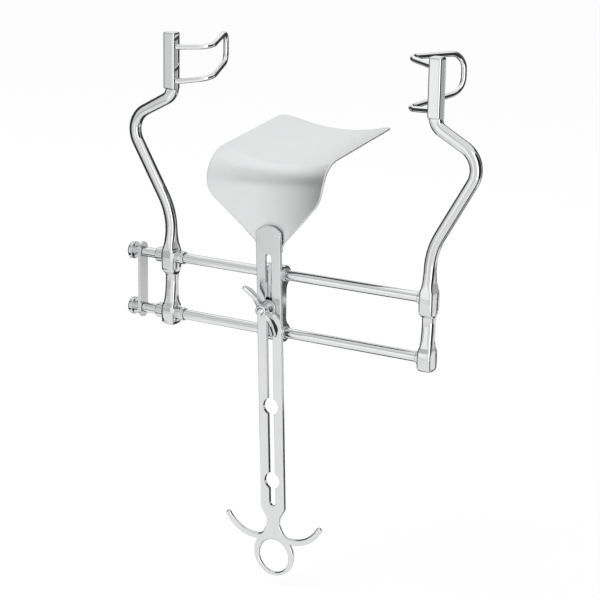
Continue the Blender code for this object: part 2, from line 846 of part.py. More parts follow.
def build_shank(pivot):
    outlines = [mirrored(shank_outline()), mirrored(slot_outline())]
    ring_hole = ring_outer_radius - ring_bar
    outlines.append(circle(flat(0, -ring_hole_drop), ring_hole, 2 * round_steps))
    middle = (shank_front + shank_back) / 2
    shank = plate_from_outlines("blade_shank", outlines, shank_thickness, Matrix.Identity(4), parts)
    shank.parent = pivot
    shank.location = (0, middle, 0)
    shank.rotation_euler = (math.pi / 2, 0, 0)
    finish(shank, "blade_shank_steel", roughness=0.16)


def blade_half_widths():
    """Half width against length along the sheet: flare, parallel sides, rounded far corners."""
    bend_length = blade_bend_radius * (math.pi / 2 - blade_rise)
    total = blade_bend_height - blade_bend_radius + bend_length + blade_depth
    foot_half = shank_width / 2 - 0.2 * mm
    rise = blade_half_width - foot_half
    corners = [
        flat(foot_half, blade_foot),
        flat(foot_half, blade_flare_start),
        flat(blade_half_width, blade_flare_start + rise),
        flat(blade_half_width, total),
        flat(0, total),
    ]
    path = filleted(corners, [0, blade_flare_root_radius, blade_flare_tip_radius, blade_corner, 0])[:-1]
    lengths = {round(p.y, 7): p.x for p in path}
    # The long plain stretch between the flare and the far corners gets rows of its own.
    plain_start = blade_flare_start + rise + blade_flare_tip_radius * math.tan(math.pi / 8)
    plain_end = total - blade_corner
    rows = 18
    for index in range(1, rows):
        lengths[round(plain_start + (plain_end - plain_start) * index / rows, 7)] = blade_half_width
    return sorted(lengths.items())


def crown(x):
    """How far the sheet rises at x; its lowest line lies a little right of the shank."""
    beside = x - blade_crown_shift
    return blade_crown_radius - math.sqrt(blade_crown_radius ** 2 - beside ** 2)


def blade_centre_line(length):
    """Point and upper-side normal of the sheet's middle at a length along it from the stud."""
    bend_start = blade_bend_height - blade_bend_radius
    sheet_y = shank_back + fit + crown(-shank_width / 2 - 1 * mm) + blade_thickness / 2
    turn = math.pi / 2 - blade_rise
    if length <= bend_start:
        return Vector((0, sheet_y, length)), Vector((0, -1, 0))
    angle = min((length - bend_start) / blade_bend_radius, turn)
    centre = Vector((0, sheet_y + blade_bend_radius, bend_start))
    normal = Vector((0, -math.cos(angle), math.sin(angle)))
    point = centre + normal * blade_bend_radius
    beyond = max(0, length - bend_start - blade_bend_radius * turn)
    return point + Vector((0, math.sin(angle), math.cos(angle))) * beyond, normal


def build_centre_blade(pivot):
    """Saddle-shaped sheet, brazed behind the shank's round top."""
    columns = 12
    bm = bmesh.new()
    rows = []
    for length, half in blade_half_widths():
        point, normal = blade_centre_line(length)
        row = []
        for index in range(columns + 1):
            x = half * (2 * index / columns - 1) + blade_shift
            row.append(bm.verts.new(point + normal * crown(x) + Vector((x, 0, 0))))
        rows.append(row)
    for lower, upper in zip(rows, rows[1:]):
        for index in range(columns):
            bm.faces.new((lower[index], lower[index + 1], upper[index + 1], upper[index]))
    bmesh.ops.recalc_face_normals(bm, faces=bm.faces)
    blade = mesh_object("centre_blade", bm, parts)
    shell = blade.modifiers.new("sheet", "SOLIDIFY")
    shell.thickness = blade_thickness
    shell.offset = 0
    blade.parent = pivot
    finish(blade, "centre_blade_steel", (0.7, 0.7, 0.71), 0.35)


for old in list(bpy.data.objects):
    bpy.data.objects.remove(old)
parts = make_collection("abdominal_retractor")
cutters = make_collection("cutters")

build_tie_plate()
build_rods()
build_end_screws()
build_side_arms()
build_wire_blades()
build_arm_bushes()
build_slider()
build_clamp()
blade_axis = blade_pivot()
build_shank(blade_axis)
build_centre_blade(blade_axis)
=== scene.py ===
import math

import bmesh
import bpy
from mathutils import Matrix, Vector


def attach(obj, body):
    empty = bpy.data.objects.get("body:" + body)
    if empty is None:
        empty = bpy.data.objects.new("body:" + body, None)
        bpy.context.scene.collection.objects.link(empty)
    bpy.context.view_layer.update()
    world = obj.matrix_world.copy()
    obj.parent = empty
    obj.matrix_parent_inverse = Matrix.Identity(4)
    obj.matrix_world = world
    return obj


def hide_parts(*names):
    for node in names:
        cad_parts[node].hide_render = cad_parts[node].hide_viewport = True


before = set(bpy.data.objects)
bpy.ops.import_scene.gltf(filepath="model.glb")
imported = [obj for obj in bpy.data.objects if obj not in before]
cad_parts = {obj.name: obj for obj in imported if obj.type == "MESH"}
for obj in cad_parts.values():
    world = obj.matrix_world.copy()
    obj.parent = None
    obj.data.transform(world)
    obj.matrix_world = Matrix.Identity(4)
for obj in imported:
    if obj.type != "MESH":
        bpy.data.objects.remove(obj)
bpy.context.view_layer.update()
mm = 0.001
degree = math.pi / 180

# Places that several pieces share
layout = {
    "rods": {"upper": 21.3 * mm, "lower": -21.3 * mm},
    "leftArm": 27.0 * mm,
    "rightArm": 240.4 * mm,
    "slider": 118.2 * mm,
    "stud": -2.0 * mm,
    "lean": -2.0 * degree,  # the centre blade stands a little askew on its clamp
    "darkerFrom": 15.5 * mm,  # the shank is rougher, and its colour darker, above this height
    "floor": -212.0 * mm,  # clear of the ring at the blade's lowest travel too
}


# Paths and outlines
def arcBetween(centre, start, end, step=4 * degree):
    a = start - centre
    b = end - centre
    sweep = a.angle(b)
    count = max(1, math.ceil(sweep / step))
    points = []
    for index in range(count + 1):
        k = index / count
        blend = a * math.sin((1 - k) * sweep) + b * math.sin(k * sweep)
        points.append(centre + blend / math.sin(sweep))
    return points


def roundedPath(corners, radii, closed=False, step=4 * degree):
    # a path through the corners with an arc of its own radius at each
    points = []
    for index, (corner, radius) in enumerate(zip(corners, radii)):
        if not radius or not (closed or 0 < index < len(corners) - 1):
            points.append(corner.copy())
            continue
        toStart = (corners[index - 1] - corner).normalized()
        toEnd = (corners[(index + 1) % len(corners)] - corner).normalized()
        half = toStart.angle(toEnd) / 2
        reach = radius / math.tan(half)
        centre = corner + (toStart + toEnd).normalized() * radius / math.sin(half)
        points += arcBetween(centre, corner + toStart * reach, corner + toEnd * reach, step)
    return points


def flat(x, y):
    return Vector((x, y, 0))


def sweepArc(centre, radius, start, end, step=4 * degree):
    count = max(1, math.ceil(abs(end - start) / step))
    angles = [start + (end - start) * index / count for index in range(count + 1)]
    return [centre + flat(math.cos(a), math.sin(a)) * radius for a in angles]


def bothSides(half):
    # closes a half outline, listed from top to bottom at +x, across its middle
    return half + [flat(-p.x, p.y) for p in reversed(half) if abs(p.x) > 1e-7]


def resample(points, spacing):
    # adds points on the long straight stretches, so that a size can change along them
    dense = [points[0]]
    for before, after in zip(points, points[1:]):
        pieces = max(1, math.ceil((after - before).length / spacing))
        dense += [before.lerp(after, (index + 1) / pieces) for index in range(pieces)]
    return dense


def smoothThrough(keys, at):
    # reads a table of (place, values...) with a curve that never overshoots
    if at <= keys[0][0]:
        return keys[0][1:]
    if at >= keys[-1][0]:
        return keys[-1][1:]
    index = max(i for i, key in enumerate(keys) if key[0] <= at)
    low, high = keys[index], keys[index + 1]

    def slope(k, column):
        if k == 0 or k == len(keys) - 1:
            return 0
        before = (keys[k][column] - keys[k - 1][column]) / (keys[k][0] - keys[k - 1][0])
        after = (keys[k + 1][column] - keys[k][column]) / (keys[k + 1][0] - keys[k][0])
        return 0 if before * after <= 0 else 2 * before * after / (before + after)

    width = high[0] - low[0]
    t = (at - low[0]) / width
    values = []
    for column in range(1, len(low)):
        a, b = low[column], high[column]
        ma, mb = slope(index, column) * width, slope(index + 1, column) * width
        values.append((2 * t**3 - 3 * t**2 + 1) * a + (t**3 - 2 * t**2 + t) * ma
                      + (3 * t**2 - 2 * t**3) * b + (t**3 - t**2) * mb)
    return tuple(values)


# Mesh steps
def pullLoops(bm, loops, closed=True):
    # draws a skin: the first loop is extruded again and again, and each new one set in its place
    verts = [bm.verts.new(p) for p in loops[0]]
    edges = [bm.edges.new(pair) for pair in zip(verts, verts[1:])]
    if closed:
        edges.append(bm.edges.new((verts[-1], verts[0])))
    for loop in loops[1:]:
        geometry = bmesh.ops.extrude_edge_only(bm, edges=edges)["geom"]
        fresh = {g for g in geometry if isinstance(g, bmesh.types.BMVert)}
        verts = [next(e.other_vert(v) for e in v.link_edges if e.other_vert(v) in fresh) for v in verts]
        for vert, place in zip(verts, loop):
            vert.co = place
        edges = [bm.edges.get(pair) for pair in zip(verts, verts[1:])]
        if closed:
            edges.append(bm.edges.get((verts[-1], verts[0])))


def closeEnds(bm):
    rims = [edge for edge in bm.edges if edge.is_boundary]
    bmesh.ops.holes_fill(bm, edges=rims, sides=0)


def softenEdges(bm, width, segments=3, angle=40):
    sharp = [e for e in bm.edges if e.is_manifold and e.calc_face_angle(0) > angle * degree]
    bmesh.ops.bevel(bm, geom=sharp, offset=width, offset_type="OFFSET", segments=segments, profile=0.5,
                    affect="EDGES", material=-1, loop_slide=False, clamp_overlap=True)


def turnedShape(bm, profile, place, steps=96):
    # (radius, height) points in millimetres, with a rounding where a third number stands
    corners = [flat(point[0], point[1]) * mm for point in profile]
    radii = [(point[2] if len(point) > 2 else 0) * mm for point in profile]
    closed = profile[0][0] > 0
    section = roundedPath(corners, radii, closed, 15 * degree)
    verts = [bm.verts.new((p.x, 0, p.y)) for p in section]
    edges = [bm.edges.new(pair) for pair in zip(verts, verts[1:])]
    if closed:
        edges.append(bm.edges.new((verts[-1], verts[0])))
    old = {v for v in bm.verts if v not in verts}
    bmesh.ops.spin(bm, geom=verts + edges, cent=(0, 0, 0), axis=(0, 0, 1), dvec=(0, 0, 0),
                   angle=2 * math.pi, steps=steps, use_merge=True, use_duplicate=False)
    fresh = [v for v in bm.verts if v not in old]
    bmesh.ops.remove_doubles(bm, verts=fresh, dist=1e-6)
    fresh = [v for v in bm.verts if v not in old]
    bmesh.ops.transform(bm, matrix=place, verts=fresh)


def plateShape(bm, outline, thickness, place):
    # a flat piece with square edges, half of its thickness on either side of its place
    old = set(bm.verts)
    verts = [bm.verts.new(p) for p in outline]
    edges = [bm.edges.new(pair) for pair in zip(verts, verts[1:] + verts[:1])]
    filled = bmesh.ops.triangle_fill(bm, edges=edges, use_beauty=True, use_dissolve=False)["geom"]
    faces = [g for g in filled if isinstance(g, bmesh.types.BMFace)]
    raised = bmesh.ops.extrude_face_region(bm, geom=faces, use_keep_orig=True)["geom"]
    tops = [g for g in raised if isinstance(g, bmesh.types.BMVert)]
    bmesh.ops.translate(bm, verts=tops, vec=(0, 0, thickness))
    fresh = [v for v in bm.verts if v not in old]
    bmesh.ops.translate(bm, verts=fresh, vec=(0, 0, -thickness / 2))
    bmesh.ops.transform(bm, matrix=place, verts=fresh)


def insetLoop(loop, distances, inward):
    # moves a loop of points sideways, by its own distance at each point
    count = len(loop)
    area = sum(p.x * q.y - q.x * p.y for p, q in zip(loop, loop[1:] + loop[:1]))
    side = inward if area > 0 else -inward
    moved = []
    for index, point in enumerate(loop):
        before = (point - loop[index - 1]).normalized()
        after = (loop[(index + 1) % count] - point).normalized()
        first = flat(-before.y, before.x) * side
        second = flat(-after.y, after.x) * side
        moved.append(point + (first + second) * distances[index] / (1 + first.dot(second)))
    return moved


def roundedPlate(bm, outlines, thickness, place, rounds, steps=5):
    # a flat piece whose first outline is its rim, and the others holes in it
    # each is rounded by its own amount, and pulled round its edge from back to front
    old = set(bm.verts)
    for index, (outline, amount) in enumerate(zip(outlines, rounds)):
        radii = [amount(p) if callable(amount) else amount for p in outline]
        inward = 1 if index == 0 else -1
        loops = []
        for side in (-1, 1):
            angles = [math.pi / 2 * k / steps for k in range(steps + 1)]
            for a in angles if side > 0 else angles[::-1]:
                ring = insetLoop(outline, [r * (1 - math.cos(a)) for r in radii], inward)
                loops.append([p + Vector((0, 0, side * (thickness / 2 - r * (1 - math.sin(a)))))
                              for p, r in zip(ring, radii)])
        pullLoops(bm, loops)
    rims = [e for e in bm.edges if e.is_boundary and e.verts[0] not in old]
    for side in (-1, 1):
        level = [e for e in rims if e.verts[0].co.z * side > 0]
        bmesh.ops.triangle_fill(bm, edges=level, use_beauty=True, use_dissolve=False, normal=(0, 0, side))
    fresh = [v for v in bm.verts if v not in old]
    bmesh.ops.transform(bm, matrix=place, verts=fresh)


def makePiece(name, bm, body, nodes, finish, angle=45, sheet=None):
    bmesh.ops.remove_doubles(bm, verts=bm.verts, dist=1e-7)
    bmesh.ops.recalc_face_normals(bm, faces=bm.faces)
    mesh = bpy.data.meshes.new(name)
    bm.to_mesh(mesh)
    bm.free()
    mesh.materials.append(finish)
    mesh.shade_smooth()
    mesh.set_sharp_from_angle(angle=angle * degree)
    piece = bpy.data.objects.new(name, mesh)
    bpy.context.scene.collection.objects.link(piece)
    if sheet:
        wall = piece.modifiers.new("sheet", "SOLIDIFY")
        wall.thickness = sheet["thickness"]
        wall.offset = 0
        soft = piece.modifiers.new("softEdges", "BEVEL")
        soft.width = sheet["edge"]
        soft.segments = sheet["edgeSteps"]
        soft.limit_method = "ANGLE"
        soft.angle_limit = 50 * degree
        soft.loop_slide = False
        soft.use_clamp_overlap = False
        soft.harden_normals = False
        mesh.set_sharp_from_angle(angle=math.pi)
    even = piece.modifiers.new("evenShading", "WEIGHTED_NORMAL")
    even.keep_sharp = True
    even.weight = 60
    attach(piece, body)
    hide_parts(*nodes)
    print("made", name)


def alongX(x, y, z):
    return Matrix.Translation((x, y, z)) @ Matrix.Rotation(math.pi / 2, 4, "Y")


def towardFront(x, y, z):
    return Matrix.Translation((x, y, z)) @ Matrix.Rotation(math.pi / 2, 4, "X")


def acrossRods(x):
    # for a plate whose outline is drawn as seen along the rods
    return alongX(x, 0, 0) @ Matrix.Rotation(math.pi / 2, 4, "Z")


# Finishes
class Field:
    # a number that varies over a surface; sums and products of fields add Math nodes
    def __init__(self, finish, socket):
        self.finish = finish
        self.socket = socket

    def mathNode(self, operation, first, second):
        node = self.finish.add("ShaderNodeMath", {"operation": operation}, {0: first, 1: second})
        return Field(self.finish, node.outputs[0])

    def __add__(self, other):
        return self.mathNode("ADD", self, other)

    def __sub__(self, other):
        return self.mathNode("SUBTRACT", self, other)

    def __rsub__(self, other):
        return self.mathNode("SUBTRACT", other, self)

    def __mul__(self, other):
        return self.mathNode("MULTIPLY", self, other)

    def __gt__(self, other):
        return self.mathNode("GREATER_THAN", self, other)

    __radd__ = __add__
    __rmul__ = __mul__


class Finish:
    # one material, with the nodes that are added to its Principled shader
    def __init__(self, name):
        self.material = bpy.data.materials.new(name)
        self.material.use_nodes = True
        self.tree = self.material.node_tree
        self.shader = self.tree.nodes["Principled BSDF"]

    def add(self, kind, settings=None, values=None):
        node = self.tree.nodes.new(kind)
        for key, setting in (settings or {}).items():
            setattr(node, key, setting)
        for key, value in (values or {}).items():
            self.feed(node.inputs[key], value)
        return node

    def feed(self, target, value):
        if isinstance(value, Field):
            value = value.socket
        if isinstance(value, bpy.types.NodeSocket):
            self.tree.links.new(value, target)
        else:
            target.default_value = value

    def place(self, scale):
        spot = self.add("ShaderNodeTexCoord")
        mapping = self.add("ShaderNodeMapping", None, {"Vector": spot.outputs["Object"], "Scale": scale})
        return mapping.outputs[0]

    def noise(self, size, stretch=(1, 1, 1), detail=2.0):
        # grains of about the given size in metres, drawn out by the stretch
        scale = tuple(1 / (size * s) for s in stretch)
        values = {"Vector": self.place(scale), "Scale": 1.0, "Detail": detail, "Roughness": 0.55}
        return Field(self, self.add("ShaderNodeTexNoise", None, values).outputs["Fac"])

    def tint(self, field, low, high):
        values = {0: field, 6: (*low, 1), 7: (*high, 1)}
        node = self.add("ShaderNodeMix", {"data_type": "RGBA"}, values)
        return node.outputs[2]

    def bump(self, height, depth, strength):
        values = {"Height": height, "Distance": depth, "Strength": strength}
        return self.add("ShaderNodeBump", None, values).outputs[0]

    def wear(self, colour, roughness, normal=None, metallic=1.0):
        self.feed(self.shader.inputs["Base Color"], colour)
        self.feed(self.shader.inputs["Roughness"], roughness)
        self.shader.inputs["Metallic"].default_value = metallic
        if normal is not None:
            self.feed(self.shader.inputs["Normal"], normal)
        return self.material


def mirrorSteel(name, low, high, grain):
    # buffed stainless: faint clouds in the buffing and hairlines that the wheel left
    steel = Finish(name)
    clouds = steel.noise(9 * mm)
    hairlines = steel.noise(0.35 * mm, grain)
    roughness = 0.035 + clouds * 0.05 + hairlines * 0.03
    colour = steel.tint(clouds * 0.6 + hairlines * 0.4, low, high)
    height = clouds * 0.5 + hairlines * 0.04
    return steel.wear(colour, roughness, steel.bump(height, 0.02 * mm, 0.35))


def turnedSteel(name, low, high):
    # lathe-turned pieces: fine rings across the rod's axis under a light polish
    steel = Finish(name)
    rings = steel.noise(0.25 * mm, (1, 30, 30))
    clouds = steel.noise(6 * mm)
    roughness = 0.06 + rings * 0.06 + clouds * 0.04
    colour = steel.tint(rings * 0.5 + clouds * 0.5, low, high)
    return steel.wear(colour, roughness, steel.bump(rings, 0.01 * mm, 0.3))


def satinSteel(name, low, high, level):
    # blasted and brushed against glare: an even silky grain with soft mottling
    steel = Finish(name)
    grain = steel.noise(0.22 * mm, (1, 3, 3), detail=3.0)
    mottle = steel.noise(14 * mm, detail=3.0)
    roughness = level + grain * 0.10 + mottle * 0.06
    colour = steel.tint(grain * 0.35 + mottle * 0.65, low, high)
    height = grain * 0.6 + mottle * 0.3
    return steel.wear(colour, roughness, steel.bump(height, 0.03 * mm, 0.25))


def shankSteel(name, low, high):
    # drawn grain down the shank; above a set height it is rougher and its colour darker
    steel = Finish(name)
    grain = steel.noise(0.2 * mm, (1, 1, 40))
    clouds = steel.noise(12 * mm)
    spot = steel.add("ShaderNodeTexCoord")
    parts = steel.add("ShaderNodeSeparateXYZ", None, {0: spot.outputs["Object"]})
    height = Field(steel, parts.outputs["Z"])
    # above this height the shank is made rougher and its colour is tinted darker
    upperShank = height > layout["darkerFrom"]
    roughness = 0.10 + grain * 0.05 + clouds * 0.03 + upperShank * 0.12
    colour = steel.tint(grain * 0.4 + clouds * 0.6 - upperShank * 0.2, low, high)
    return steel.wear(colour, roughness, steel.bump(grain, 0.01 * mm, 0.25))


# Each with the darkest and the palest colour of its steel
finishes = {
    "arms": mirrorSteel("mirrorPolishedSteel", (0.64, 0.645, 0.65), (0.73, 0.735, 0.74), (1, 1, 12)),
    "wires": mirrorSteel("polishedWireSteel", (0.74, 0.745, 0.75), (0.80, 0.805, 0.81), (6, 6, 1)),
    "rods": mirrorSteel("groundRodSteel", (0.70, 0.705, 0.71), (0.77, 0.775, 0.78), (20, 1, 1)),
    "turned": turnedSteel("turnedSteel", (0.62, 0.625, 0.63), (0.72, 0.725, 0.73)),
    "plate": satinSteel("linishedPlateSteel", (0.69, 0.695, 0.70), (0.76, 0.765, 0.77), 0.15),
    "shank": shankSteel("drawnShankSteel", (0.67, 0.675, 0.68), (0.76, 0.765, 0.77)),
    "blade": satinSteel("satinBladeSteel", (0.73, 0.735, 0.74), (0.80, 0.805, 0.81), 0.34),
}
print("finishes ready")

# Guide rods, cross pins, tie plate and end screws
rods = {"radius": 3.6, "start": 2.6, "end": 243.2, "chamfer": 0.5}
for label, height in layout["rods"].items():
    bm = bmesh.new()
    profile = [(0, rods["end"]), (rods["radius"], rods["end"], rods["chamfer"]),
               (rods["radius"], rods["start"], rods["chamfer"]), (0, rods["start"])]
    turnedShape(bm, profile, alongX(0, 0, height), 128)
    makePiece(label + "GuideRod", bm, "frame", [label + "_rod"], finishes["rods"])

pins = {"radius": 1.1, "half": 6.79, "dome": 0.12}
for label, height in layout["rods"].items():
    bm = bmesh.new()
    profile = [(0, pins["half"]), (pins["radius"], pins["half"], pins["dome"]),
               (pins["radius"], -pins["half"], pins["dome"]), (0, -pins["half"])]
    turnedShape(bm, profile, towardFront(layout["rightArm"], 0, height), 48)
    makePiece(label + "CrossPin", bm, "frame", [label + "_rod_pin"], finishes["turned"])

tiePlate = {"thickness": 2.3 * mm, "width": 9.4 * mm, "halfHeight": 28.5 * mm, "cornerRadius": 4.5 * mm,
            "edge": 0.35 * mm}
halfWidth = tiePlate["width"] / 2
corners = [flat(halfWidth, tiePlate["halfHeight"]), flat(halfWidth, -tiePlate["halfHeight"]),
           flat(-halfWidth, -tiePlate["halfHeight"]), flat(-halfWidth, tiePlate["halfHeight"])]
rim = roundedPath(corners, [tiePlate["cornerRadius"]] * 4, True)
bm = bmesh.new()
plateShape(bm, rim, tiePlate["thickness"], acrossRods(tiePlate["thickness"] / 2))
softenEdges(bm, tiePlate["edge"])
makePiece("tiePlate", bm, "frame", ["tie_plate"], finishes["plate"])

endScrew = {
    "profile": [(0, 4), (1.9, 4), (1.9, -0.3), (3.1, -0.3, 0.2), (3.1, -4.9, 0.35), (6.3, -4.9, 0.5),
                (6.3, -8.7, 1.3), (4.6, -8.7, 0.4), (4.1, -8.5, 0.3), (0, -8.5)],
}
for label, height in layout["rods"].items():
    bm = bmesh.new()
    turnedShape(bm, endScrew["profile"], alongX(0, 0, height))
    makePiece(label + "EndScrew", bm, "frame", [label + "_end_screw"], finishes["turned"])

# Side arms
# height, width, depth, corner radius and set-back of the forged section, in millimetres
armSections = [
    (-29.9, 8.6, 7.6, 1.5, 0), (-29.2, 10.0, 10.2, 1.8, 0), (-27.3, 10.4, 12.5, 1.9, 0),
    (-21.3, 10.4, 13.2, 1.9, 0), (-16.7, 10.4, 12.6, 1.9, 0), (-15.0, 10.2, 11.2, 1.9, 0.05),
    (-13.2, 9.4, 9.6, 2.1, 0.1), (-8.0, 8.8, 8.2, 2.4, 0.3), (2.5, 8.6, 7.2, 2.4, 0.8),
    (7.6, 8.8, 7.4, 2.2, 0.9), (10.2, 10.0, 10.8, 1.9, 0.2), (12.9, 10.4, 12.8, 1.9, 0),
    (21.3, 10.4, 13.2, 1.9, 0), (25.9, 10.1, 12.9, 1.9, 0), (28.4, 8.9, 12.3, 2.1, 0),
    (33.0, 7.9, 10.4, 2.6, 0), (40.0, 7.9, 8.2, 2.8, 0), (46.0, 8.1, 7.6, 2.8, 0),
    (126.0, 8.1, 7.6, 2.8, 0), (138.0, 8.5, 7.0, 2.6, 0.4), (144.6, 9.3, 6.6, 2.0, 0.8),
    (145.7, 9.4, 8.7, 1.5, 0), (184.4, 9.4, 8.7, 1.5, 0), (185.3, 8.9, 8.2, 1.4, 0),
    (185.8, 7.9, 7.2, 1.3, 0), (186.0, 6.8, 6.1, 1.2, 0),
]
armBow = {"root": 54.2 * mm, "shoulder": 139.8 * mm, "inAngle": 61.9 * degree,
          "rootRadius": 50 * mm, "radius": 17 * mm, "shoulderRadius": 9 * mm,
          "bulge": 0.14 * mm, "endEdge": 0.5 * mm, "cornerSteps": 6, "spacing": 0.3 * mm}


def roundedSection(width, depth, corner):
    # the sides are a little full between their rounded corners, as hand polishing leaves them
    steps = armBow["cornerSteps"]
    arcs = []
    for quarter, (sideways, forward) in enumerate(((1, 1), (-1, 1), (-1, -1), (1, -1))):
        centre = flat(sideways * (width / 2 - corner), forward * (depth / 2 - corner))
        angles = [(quarter + k / steps) * math.pi / 2 for k in range(steps + 1)]
        arcs.append([centre + flat(math.cos(a), math.sin(a)) * corner for a in angles])
    section = []
    for quarter, out in enumerate((flat(0, 1), flat(-1, 0), flat(0, -1), flat(1, 0))):
        end, start = arcs[quarter][-1], arcs[(quarter + 1) % 4][0]
        section += arcs[quarter]
        section += [end.lerp(start, k) + out * armBow["bulge"] * 4 * k * (1 - k) for k in (0.25, 0.5, 0.75)]
    return section


def forgedArm(bm, x, outward, outAngle):
    foot, top = armSections[0][0] * mm, armSections[-1][0] * mm
    outSlope = math.tan(math.pi / 2 - outAngle)
    inSlope = math.tan(math.pi / 2 - armBow["inAngle"])
    reach = (armBow["shoulder"] - armBow["root"]) / (outSlope + inSlope)
    corners = [Vector((0, 0, foot)), Vector((0, 0, armBow["root"])),
               Vector((reach, 0, armBow["root"] + reach * outSlope)),
               Vector((0, 0, armBow["shoulder"])), Vector((0, 0, top))]
    radii = [0, armBow["rootRadius"], armBow["radius"], armBow["shoulderRadius"], 0]
    line = resample(roundedPath(corners, radii, False, 2 * degree), armBow["spacing"])
    loops = []
    for index, point in enumerate(line):
        before = line[max(index - 1, 0)]
        after = line[min(index + 1, len(line) - 1)]
        along = (after - before).normalized()
        across = Vector((along.z, 0, -along.x))
        width, depth, corner, back = [value * mm for value in smoothThrough(armSections, point.z / mm)]
        section = roundedSection(width, depth, corner)
        ring = [point + across * p.x + Vector((0, p.y + back, 0)) for p in section]
        loops.append([Vector((x + p.x * outward, p.y, p.z)) for p in ring])
    pullLoops(bm, loops)
    closeEnds(bm)
    softenEdges(bm, armBow["endEdge"], 4, 60)


def sweepTube(bm, line, radius, sides=32):
    # a round bar along a path; its flat ends sit in the heads
    loops = []
    normal = Vector((0, 0, 1))
    for index, point in enumerate(line):
        along = (line[min(index + 1, len(line) - 1)] - line[max(index - 1, 0)]).normalized()
        normal = (normal - along * normal.dot(along)).normalized()
        side = along.cross(normal)
        angles = [2 * math.pi * k / sides for k in range(sides)]
        loops.append([point + (normal * math.cos(a) + side * math.sin(a)) * radius for a in angles])
    pullLoops(bm, loops)
    closeEnds(bm)


armsByName = {
    "left": {"x": layout["leftArm"], "outward": -1, "outAngle": 31.0 * degree, "body": "sliding_arm"},
    "right": {"x": layout["rightArm"], "outward": 1, "outAngle": 30.2 * degree, "body": "frame",
              "collar": [(0, 0), (4.8, 0), (4.8, -7.4, 0.7), (0, -7.4)]},
}
# In millimetres: the gaps between the two runs at the head, the bend and the end,
# and how far their middle has risen at the last two
wireBlades = {
    "left": {"height": 162.9, "bendIn": 24.8, "gaps": (24.8, 22.4, 21.6), "rises": (2.6, 8.0),
             "reach": 6.2, "endCorner": 8.0},
    "right": {"height": 164.7, "bendIn": 23.2, "gaps": (29.6, 34.6, 26.4), "rises": (0.5, 4.3),
              "reach": 3.3, "endCorner": 12.0},
}
wire = {"radius": 2.0 * mm, "spacing": 2.5 * mm, "socket": 4.6, "bendDepth": 8.5, "depth": 55.0,
        "rootRadius": 4.0, "bendRadius": 9.0, "headHalf": 4.2}

for side, arm in armsByName.items():
    bm = bmesh.new()
    forgedArm(bm, arm["x"], arm["outward"], arm["outAngle"])
    if "collar" in arm:
        for height in layout["rods"].values():
            turnedShape(bm, arm["collar"], alongX(arm["x"], 0, height))
    makePiece(side + "Arm", bm, arm["body"], [side + "_arm"], finishes["arms"])

    blade = wireBlades[side]
    upper, lower = [], []
    for up, run in ((1, upper), (-1, lower)):
        run += [(-wire["socket"], 0, up * blade["gaps"][0] / 2), (0, 0, up * blade["gaps"][0] / 2),
                (blade["bendIn"], wire["bendDepth"], blade["rises"][0] + up * blade["gaps"][1] / 2),
                (blade["reach"], wire["depth"], blade["rises"][1] + up * blade["gaps"][2] / 2)]
    corners = []
    for across, forward, up in upper + lower[::-1]:
        x = arm["x"] / mm - arm["outward"] * (wire["headHalf"] + across)
        corners.append(Vector((x, forward, blade["height"] + up)) * mm)
    radii = [0, wire["rootRadius"], wire["bendRadius"], blade["endCorner"]]
    line = roundedPath(corners, [r * mm for r in radii + radii[::-1]], False, 3 * degree)
    bm = bmesh.new()
    sweepTube(bm, resample(line, wire["spacing"]), wire["radius"])
    makePiece(side + "WireBlade", bm, arm["body"], [side + "_wire_blade"], finishes["wires"])

# Bushes of the sliding arm
armBush = {
    "profile": [(3.9, 12.4), (4.6, 12.4, 0.3), (4.6, 10.5), (4.75, 10.3), (4.75, 9.9), (4.35, 9.7),
                (4.35, 9.3), (4.6, 9.1), (4.6, -5.5), (5.45, -5.5, 0.3), (5.45, -11.7, 0.7), (3.9, -11.7)],
}
for label, height in layout["rods"].items():
    bm = bmesh.new()
    turnedShape(bm, armBush["profile"], alongX(layout["leftArm"], 0, height))
    makePiece(label + "ArmBush", bm, "sliding_arm", [label + "_arm_bush"], finishes["turned"])

# Cross slider
crossSlider = {"width": 15.8 * mm, "radius": 6.7 * mm, "waist": 7.7 * mm, "fillet": 8.0 * mm,
               "edge": 0.6 * mm, "keyTop": 30.0 * mm, "keyBottom": 14.5 * mm, "keyHalf": 1.18 * mm,
               "keyCorner": 0.944 * mm, "keyFront": -9.3 * mm, "keyBack": -5.5 * mm}
rodHeight = layout["rods"]["upper"]
radius = crossSlider["radius"]
centre = flat(crossSlider["waist"] - radius + crossSlider["fillet"], 0)
centre.y = rodHeight - math.sqrt((radius + crossSlider["fillet"]) ** 2 - centre.x ** 2)
lean = math.atan2(centre.y - rodHeight, centre.x)
upperHalf = sweepArc(flat(0, rodHeight), radius, math.pi, lean)
upperHalf += sweepArc(centre, crossSlider["fillet"], math.pi + lean, math.pi)[1:]
outline = upperHalf + [flat(p.x, -p.y) for p in reversed(upperHalf)]
bm = bmesh.new()
plateShape(bm, outline, crossSlider["width"], acrossRods(layout["slider"]))
softenEdges(bm, crossSlider["edge"])
half = crossSlider["keyHalf"]
keyOutline = roundedPath([flat(-half, crossSlider["keyTop"]), flat(-half, crossSlider["keyBottom"]),
                          flat(half, crossSlider["keyBottom"]), flat(half, crossSlider["keyTop"])],
                         [crossSlider["keyCorner"]] * 4, True, 15 * degree)
keyDepth = crossSlider["keyBack"] - crossSlider["keyFront"]
keyPlace = towardFront(layout["slider"], crossSlider["keyFront"] + keyDepth / 2, 0)
plateShape(bm, keyOutline, keyDepth, keyPlace)
makePiece("crossSlider", bm, "slider", ["cross_slider"], finishes["arms"])

sliderBush = {"profile": [(3.9, 9.0), (4.9, 9.0, 0.35), (4.9, -9.0, 0.35), (3.9, -9.0)]}
for label, height in layout["rods"].items():
    bm = bmesh.new()
    turnedShape(bm, sliderBush["profile"], alongX(layout["slider"], 0, height))
    makePiece(label + "SliderBush", bm, "slider", [label + "_slider_bush"], finishes["turned"])

